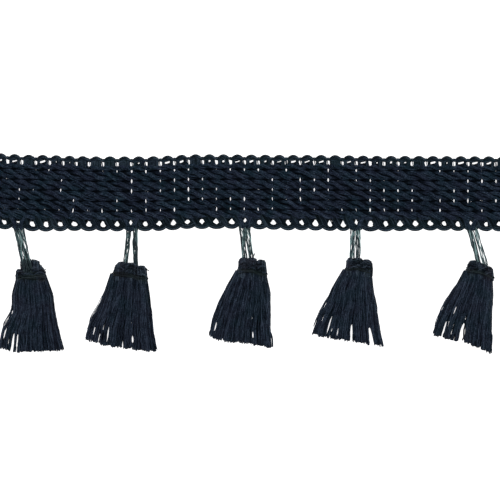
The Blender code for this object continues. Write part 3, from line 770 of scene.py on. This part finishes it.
def partAtSlits(t, x, y, edgeLeft, edgeRight, thick):
    # strands lie around the see-through slits
    for px, py, tall, wide in t["slits"]:
        slitX, slitY = spotMm(px, py)
        high = np.clip(1 - ((y - slitY) / (tall * pixel / mm)) ** 2, 0, 1)
        offset = x - edgeLeft - (edgeRight - edgeLeft) * slitShare(t, slitX, slitY)
        aside = 1 if offset[np.argmin(np.abs(y - slitY))] > 0 else -1
        need = wide * pixel / mm * 0.5 * np.sqrt(high) + thick
        push = np.maximum(0, need - offset * aside) * np.exp(-np.maximum(0, np.abs(offset) - need) / 0.9)
        x = np.where(high > 0, x + aside * push, x)
    return x


def buildSkirt(number, t):
    yarns = Yarns()
    left, right, tips = (np.array(t[key]) for key in ("left", "right", "tips"))
    along = np.linspace(0, 1, fringe["points"])
    thick = np.interp(along, *fringe["thick"])
    gather = 1 - smoothStep(along * 6)
    count, layers = fringe["columns"], len(fringe["levels"])
    hemPlaces = np.linspace(0, 1, 80)
    hem = wander(hemPlaces, 0.16, 0.45)
    inset = 0.45 * np.sin(math.pi * along)
    edgeLeft = np.interp(along, quarters, left) + inset
    edgeRight = np.interp(along, quarters, right) - inset
    for k in range(count * layers):
        column, layer = k // layers, fringe["levels"][k % layers]
        place = between(0.05, 0.95) if layer < 1 else 0.5 * (k % 2) + between(0.1, 0.4)
        share = np.clip((column + place) / count, 0.012, 0.988)
        rootShare = np.clip(share + chance.normal(0, 0.02), 0.015, 0.985)
        stray = chance.random() < 0.12
        drifted = np.clip(share + chance.normal(0, 0.05 if stray else 0.022), -0.005, 1.005)
        shares = rootShare + (drifted - rootShare) * smoothStep(along * 1.3)
        x = edgeLeft + (edgeRight - edgeLeft) * shares
        x = x + wander(along, 0.6, 0.4 if stray else 0.28) * smoothStep(along * 3)
        x = x + wander(along, 0.22, 0.14) * smoothStep(along * 3)
        tip = np.interp(share, quarters, tips) + chance.normal(0, 0.2)
        tip += np.interp(share, hemPlaces, hem)
        if layer == 1 and chance.random() < 0.2:
            tip += between(0.4, 2.0)
        root = neckAt(t, rootShare) + 0.5
        y = root + (tip - root) * along
        if chance.random() > 0.02:
            x = partAtSlits(t, x, y, edgeLeft, edgeRight, fringe["yarnRadius"] * (1.75 - 0.75 * layer))
        side = np.sqrt(np.clip(1 - np.abs(2 * shares - 1) ** 2.5, 0.04, 1))
        spot = layer if layer == 1 else layer + between(-0.08, 0.12)
        z = 0.3 + (thick * (0.35 + 0.65 * side) - 0.65) * np.clip(spot, 0.02, 1) + wander(along, 0.5, 0.2)
        z = z + 0.2 * math.cos(2 * math.pi * column / 3) * (1 - smoothStep(along * 1.5))
        z = z * (1 - gather) + gather * (
            fringe["neckLift"] + (layer - 0.5) * 2 * fringe["neckDepth"] * 0.8 * side)
        radius = fringe["yarnRadius"] * between(0.75, 1.05) * np.where(along > 0.97, 0.75, 1.0)
        radius = radius * (1.0 + 0.85 * (1 - layer) * smoothStep(along * 1.5))
        z = np.clip(z, radius + 0.02, None)
        x[-2:] += chance.normal(0, 0.12, 2)
        shade = 0.53 + 0.1 * (column % 2 * 2 - 1) + between(-0.36, 0.36)
        # painted shade: the lower layers are darker, and near the top every third column is darker in the
        # seam between bundles
        grooveShade = 0.28 * (column % 3 == 1) * (1 - smoothStep(along * 1.6))
        yarns.add(joined(x, y, z) * mm, radius * mm, shade, np.maximum(0.6 * (1 - layer), grooveShade))
    # packed yarns inside, so that the upper part is dense, near-black as painted shade between the strands
    half = fringe["packed"] // 2
    for k in range(2 * half):
        share = (k % half + between(0.2, 0.8)) / half
        reach = between(0.35, 0.55)
        run = np.linspace(0, reach, 8)
        x = np.interp(run, quarters, left) * (1 - share) + np.interp(run, quarters, right) * share
        root = neckAt(t, share) + 0.4
        y = root + (np.interp(share, quarters, tips) - root) * run
        z = np.interp(run, [0, 0.2, 1], [3.2, 2.6 - 1.2 * (k // half), 1.0])
        yarns.add(joined(x, y, z) * mm, fringe["packedRadius"] * mm * (1 - 0.3 * run / reach), 0.1, 0.9)
    # loose threads bow out at both sides, painted lighter as highlight for the glints on them
    for k in range(fringe["looseThreads"]):
        side = k % 2
        bow = between(0.05, 0.32) * np.sin(math.pi * np.clip(
            (along - between(0.2, 0.5)) / between(0.35, 0.6), 0, 1))
        x = np.interp(along, quarters, (left, right)[side])
        x = x + (2 * side - 1) * (bow - 0.45) + wander(along, 0.35, 0.15)
        root = neckAt(t, 0.03 + 0.94 * side) + 0.2
        y = root + (tips[-side] - root) * along * between(0.85, 1.0)
        z = 1.2 + 1.6 * (1 - along) + wander(along, 0.5, 0.3)
        yarns.add(joined(x, y, z) * mm, between(*fringe["looseRadius"]) * mm, between(0.4, 1))
    yarns.make("skirt_%d" % number, 4, fringeYarn, ("tassel_%d" % number,))


def partAtGap(line, gap):
    # threads lie around a small round gap, given in pixels
    away = line[:, :2] - spotMm(*gap[:2])
    far = np.hypot(away[:, 0], away[:, 1])
    line[:, :2] += away * (np.maximum(0, gap[2] * pixel / mm - far) / np.maximum(far, 0.01))[:, None]
    return line


# folded yarns of a head, in mm: how thick and high it lies, and how far its lobes' outer corners round off
folds = {"rings": (1.0, 0.72), "perMm": 2.6, "corner": 1.3, "thick": 3.05, "lift": 3.45, "top": 6.75,
         "radius": (0.23, 0.3), "cores": 9, "coreRadius": 0.75, "knotRadius": (0.17, 0.27)}


def buildHead(number, t):
    yarns = Yarns()
    left, right = t["head"]
    middle, halfHead = (left + right) / 2, (right - left) / 2
    insetLeft, insetRight = t["inset"]
    for (start, end, topLeft, topRight, soft), ring in product(t["lobes"], folds["rings"]):
        width = (end - start) * (right - left)
        centreShare = (start + end) / 2
        centre = left + (right - left) * centreShare
        count = int(7 + width * folds["perMm"])
        for k in range(count):
            across = np.clip(-1 + 2 * (k + 0.5) / count + chance.normal(0, 0.03), -1, 1)
            outer = (across < 0 and start < 0.02) or (across > 0 and end > 0.98)
            corner = (folds["corner"] if outer else soft) * min(1.0, width / 3.5)
            foot = neckAt(t, centreShare + across * (end - start) / 2 * 0.9) - 0.3
            roof = topLeft + (topRight - topLeft) * (across + 1) / 2
            roof = roof - 0.3 - corner * abs(across) ** 3.0 - (1 - ring) * 2.2
            turn = np.linspace(-0.08, 1.08, 15) * math.pi
            rise = np.clip(np.sin(turn), -0.3, 1)
            y = foot + (roof - foot) * np.sign(rise) * np.abs(rise) ** 0.72
            x = centre + across * (width / 2 - 0.22) * (0.9 + 0.1 * ring)
            share = np.clip(headShare(t, x), 0, 1)
            x = x + np.clip(rise, 0, 1) * (insetLeft * (1 - share) ** 2 - insetRight * share**2)
            x = x + wander(turn, 2.6, 0.16) + chance.normal(0, 0.08)
            thick = folds["thick"] * math.sqrt(max(0.2, 1 - 0.75 * across * across)) * ring
            z = folds["lift"] + thick * np.cos(turn) * (0.5 + 0.5 * np.clip(rise * 1.5, 0, 1))
            radius = between(*folds["radius"])
            z = np.clip(z, radius + 0.02, folds["top"])
            # painted shade: the outer ring darkens towards the sides of a lobe, in the gaps between lobes,
            # and the inner ring is dark
            lobeGapShade = 0.75 * smoothStep((abs(across) - 0.68) / 0.32)
            yarns.add(joined(x, y, z) * mm, radius * mm, dark=lobeGapShade if ring == 1.0 else 0.6)
    tops = [(t["lobes"][0][0], t["lobes"][0][2])] + [(lobe[1], lobe[3]) for lobe in t["lobes"]]
    # thick yarns inside, near-black as painted shade
    for k in range(folds["cores"]):
        share = (k + 0.5) / folds["cores"]
        x = left + 0.9 + (right - left - 1.8) * share + insetLeft * (1 - share) ** 2
        top = min(np.interp(np.clip(share + d, 0, 1), *zip(*tops)) for d in (-0.12, 0, 0.12))
        y = np.linspace(neckAt(t, share) - 0.2, top - 1.3, 5)
        yarns.add(joined(x, y, 3.3) * mm, folds["coreRadius"] * mm, 0.1, 0.9)
    # short threads knotted over the folded yarns
    run = np.linspace(-1, 1, 9)
    for k in range(t["knots"]):
        share = between(0.1, 0.9)
        top = np.interp(share, *zip(*tops)) - 1.4
        low = neckAt(t, share) + 0.8
        reach, lift = between(0.9, 1.9), between(-0.8, 0.8)
        x = left + (right - left) * share + reach * run + insetLeft * (1 - share) ** 2
        y = low + (top - low) * between(0.1, 1) + lift * run * 0.7 + 0.35 * np.cos(2.4 * run)
        depth = 3.0 * np.sqrt(np.clip(1 - 0.55 * ((x - middle) / halfHead) ** 4, 0.15, 1))
        line = joined(x, y, 3.5 + depth - 0.5 * run**2)[(x > left + 0.3) & (x < right - 0.3)]
        if len(line) > 4:
            yarns.add(line * mm, between(*folds["knotRadius"]) * mm,
                      chance.choice([0.1, 0.35, 0.75]), chance.choice([0.0, 0.3, 0.7]))
    if "fan" in t:
        # yarns spread over the foot of the loop, round a small gap
        fan = t["fan"]
        for k in range(fan["threads"]):
            share = k / (fan["threads"] - 1) + chance.normal(0, 0.03)
            px = [a + (b - a) * share for a, b in (fan["top"], fan["middle"], fan["end"])]
            line = through(joined(*spotMm(px, fan["y"]), fan["lift"]), 12)
            line[:, 0] += wander(line[:, 1], 3, 0.3)
            line[:, 2] += between(-0.3, 0.2)
            line = partAtGap(line, fan["gap"])
            darkToneAndShade = np.clip(np.linspace(0.0, 0.75, 12) + between(-0.15, 0.3), 0, 0.9)
            yarns.add(line * mm, between(0.18, 0.27) * mm, between(0.1, 0.8), darkToneAndShade)
    yarns.make("head_%d" % number, 4, headYarn)


# turns of the binding round a neck, in mm
binding = {"lift": 3.3, "halfDepth": 2.8, "inset": 0.15, "sideTurns": 3, "sideRadius": 0.18,
           "tailRadius": 0.22}


def bulge(value):
    # a flattened round
    return np.sign(value) * np.abs(value) ** 0.7


def buildBinding(number, t):
    yarns = Yarns()
    left, right = t["head"]
    band = t["band"]
    centre, halfWidth = (left + right) / 2, (right - left) / 2 - binding["inset"]

    def bandY(x):
        share = np.clip(headShare(t, x), 0, 1)
        return neckAt(t, share) + np.interp(share, band["shares"], band["steps"])

    for k in range(band["wraps"]):
        level = (k - (band["wraps"] - 1) / 2) * band["spacing"]
        slope = between(-1, 1) * band["cross"]
        turn = np.linspace(0, 2 * math.pi, 45) + between(0, 6)
        x = centre + halfWidth * bulge(np.cos(turn))
        y = bandY(x) + level + slope * np.cos(turn) + wander(turn, 2.4, 0.2)
        z = binding["lift"] + (binding["halfDepth"] + 0.12 * (k % 3)) * bulge(np.sin(turn))
        yarns.add(joined(x, y, z) * mm, band["radius"] * between(0.85, 1.15) * mm,
                  between(0.0, 0.3) if k in (0, band["wraps"] - 1) else between(0.3, 0.9),
                  0.5 if k == 0 else np.clip(0.15 + wander(turn, 1.5, 0.4), 0, 0.55))
    for side, k in product((-1, 1), range(binding["sideTurns"])):
        x = centre + side * (halfWidth - 0.1)
        turn = np.linspace(0, 2 * math.pi * 0.9, 11) + between(0, 6)
        yarns.add(joined(x + side * 0.1 + 0.25 * np.cos(turn), bandY(x) + 0.4 * np.sin(turn),
                         3.2 + 0.5 * (k - 1) + 0.2 * np.cos(turn)) * mm, binding["sideRadius"] * mm, 0.2)
    for startX, startY, endX, endY in t["tails"]:
        run = np.linspace(0, 1, 7)
        x, y = spotMm(startX + (endX - startX) * run, startY + (endY - startY) * run)
        yarns.add(joined(x, y + wander(run, 0.9, 0.15), 5.6 - 1.2 * run**2) * mm,
                  binding["tailRadius"] * mm, 0.1, 0.6)
    yarns.make("wrap_%d" % number, 5, bindingThread, ("binding_%d" % number,))


# threads of a loop: "lifts" is their height in mm from the foot (0) to the top (1), after the foot's own
# the lightest shades are painted highlight, for glints on the glossy threads
loops = {"topY": 227.0, "shades": [0.1, 0.25, 0.4, 0.6, 0.95, 1.0], "radius": (0.14, 0.21),
         "knots": (0.0, 0.14, 0.28, 0.42, 0.56, 0.7, 0.85, 1.0), "liftAt": [0, 0.3, 0.45, 0.8, 1],
         "lifts": [3.6, 2.3, 1.7], "fullerLifts": [3.4, 2.1, 1.6], "fullerRadius": (0.16, 0.22)}


def loopEndShade(t, line, least):
    # painted shade: threads of a loop are darker near the head and under the heading, most under a fan
    most, past = (0.95, 3.4) if "fan" in t else (0.75, 2.0)
    dark = most * (1 - smoothStep((line[:, 1] - min(t["neck"]) - past - 2.4) / 3))
    return np.maximum(dark + 0.5 * smoothStep((line[:, 1] - 7.5) / 2), least)


def buildLoop(number, t):
    yarns = Yarns()
    topX = t["loopTop"]
    topY = (spotY(loops["topY"]) + driftAt(topX * mm)) / mm
    topWide, footWide = t["legWide"]
    legs = [(side, foot, topX + side * t["legSpread"] / 2, neckAt(t, headShare(t, foot)) + 2.0, extra)
            for side, foot, extra in zip((-1, 1), t["feet"], t["fuller"])]
    footLift = [t["footLift"]] * 2
    for k in range(t["filaments"]):
        lane = (k / (t["filaments"] - 1) - 0.5) * 2       # -1 is the outer side of both legs
        outer = abs(lane) > 0.8
        knots = []
        for side, foot, legTop, footY, extra in legs:
            sway = 0.25 if outer else between(0.3, 1.1)
            start, speed = between(0, 6), between(3.5, 6.5)
            leg = []
            for reach in loops["knots"]:
                wide = footWide + (topWide - footWide) * reach
                across = np.clip(lane + sway * math.sin(start + speed * reach), -1.05, 1.05)
                x = foot + (legTop - foot) * reach - side * across * wide + chance.normal(0, 0.1)
                z = np.interp(reach, loops["liftAt"], footLift + loops["lifts"])
                z = z + 0.35 * math.cos(start + speed * reach) * (not outer)
                leg.append((x, footY + (topY - footY) * reach, z + chance.normal(0, 0.08)))
            knots += leg + [(topX, topY + 0.9 + 0.4 * lane, 1.2)] if side < 0 else leg[::-1]
        line = through(knots, 56)
        # painted shade: the outer filaments of both legs are dark, for the dark rim at the edges of the
        # glossy loop
        shade = between(0.0, 0.3) if outer else chance.choice(loops["shades"])
        if "fan" in t:
            line = partAtGap(line, t["fan"]["gap"])
        yarns.add(line * mm, between(*loops["radius"]) * mm, shade, loopEndShade(t, line, 0.6 * outer))
    # threads that run up one leg alone
    reach = np.linspace(0, 1, 9)
    for side, foot, legTop, footY, extra in legs:
        for k in range(extra):
            lane = (k + 0.5) / extra * 2 - 1
            wide = (footWide + (topWide - footWide) * reach) * 0.85
            x = foot + (legTop - foot) * reach + chance.normal(0, 0.08, 9)
            x = x + wide * np.clip(lane + 0.8 * np.sin(between(0, 6) + 5 * reach), -1, 1)
            z = np.interp(reach, loops["liftAt"], footLift + loops["fullerLifts"])
            y = footY + (topY - footY) * reach
            line = through(joined(x, y, z + chance.normal(0, 0.1, 9)), 26)
            yarns.add(line * mm, between(*loops["fullerRadius"]) * mm, between(0.1, 0.45),
                      loopEndShade(t, line, 0.45))
    yarns.make("threads_%d" % number, 4, loopThread, ("loop_%d" % number,))


for index in range(len(heading["rowEdges"]) - 1):
    buildRow(index)
buildChainStitches()
buildTopEdge()
buildScallops()
buildNecks()
for number, tassel in enumerate(tassels, 1):
    buildSkirt(number, tassel)
    buildHead(number, tassel)
    buildBinding(number, tassel)
    buildLoop(number, tassel)


# Studio, in metres and watts
studio = {"cameraHeight": 1.2, "cameraY": 1.18 * mm, "width": 0.2, "floorSize": 3.0, "floorShade": 0.8,
          "floorGlow": 0.95, "sky": 0.6,
          "softbox": 7.0, "softboxSize": 1.6, "softboxPlace": (-0.25, 0.35, 1.5)}


def makeFloor():
    mesh = bpy.data.meshes.new("floor")
    bm = bmesh.new()
    bmesh.ops.create_grid(bm, x_segments=1, y_segments=1, size=studio["floorSize"])
    bm.to_mesh(mesh)
    bm.free()
    material = bpy.data.materials.new("paleFloor")
    material.use_nodes = True
    fillInputs(material.node_tree, material.node_tree.nodes["Principled BSDF"], {
        "Base Color": (studio["floorShade"],) * 3 + (1,), "Roughness": 1.0, "Specular IOR Level": 0.0,
        "Emission Color": (1, 1, 1, 1), "Emission Strength": studio["floorGlow"]})
    mesh.materials.append(material)
    floor = addObject("floor", mesh)


def makeLight():
    world = bpy.data.worlds.new("softRoom")
    world.use_nodes = True
    fillInputs(world.node_tree, world.node_tree.nodes["Background"],
               {"Color": (1, 1, 1, 1), "Strength": studio["sky"]})
    bpy.context.scene.world = world
    lamp = bpy.data.lights.new("softbox", "AREA")
    lamp.shape = "SQUARE"
    lamp.size = studio["softboxSize"]
    lamp.energy = studio["softbox"]
    light = addObject("softbox", lamp)
    light.location = studio["softboxPlace"]
    light.rotation_euler = Vector(studio["softboxPlace"]).to_track_quat("Z", "Y").to_euler()


def makeCamera():
    data = bpy.data.cameras.new("camera")
    data.sensor_width = 36.0
    data.lens = data.sensor_width * studio["cameraHeight"] / studio["width"]
    camera = addObject("camera", data)
    camera.location = (0.0, studio["cameraY"], studio["cameraHeight"])
    bpy.context.scene.camera = camera
    bpy.context.scene.view_settings.view_transform = "Standard"


makeFloor()
makeLight()
makeCamera()
print("stage is made")
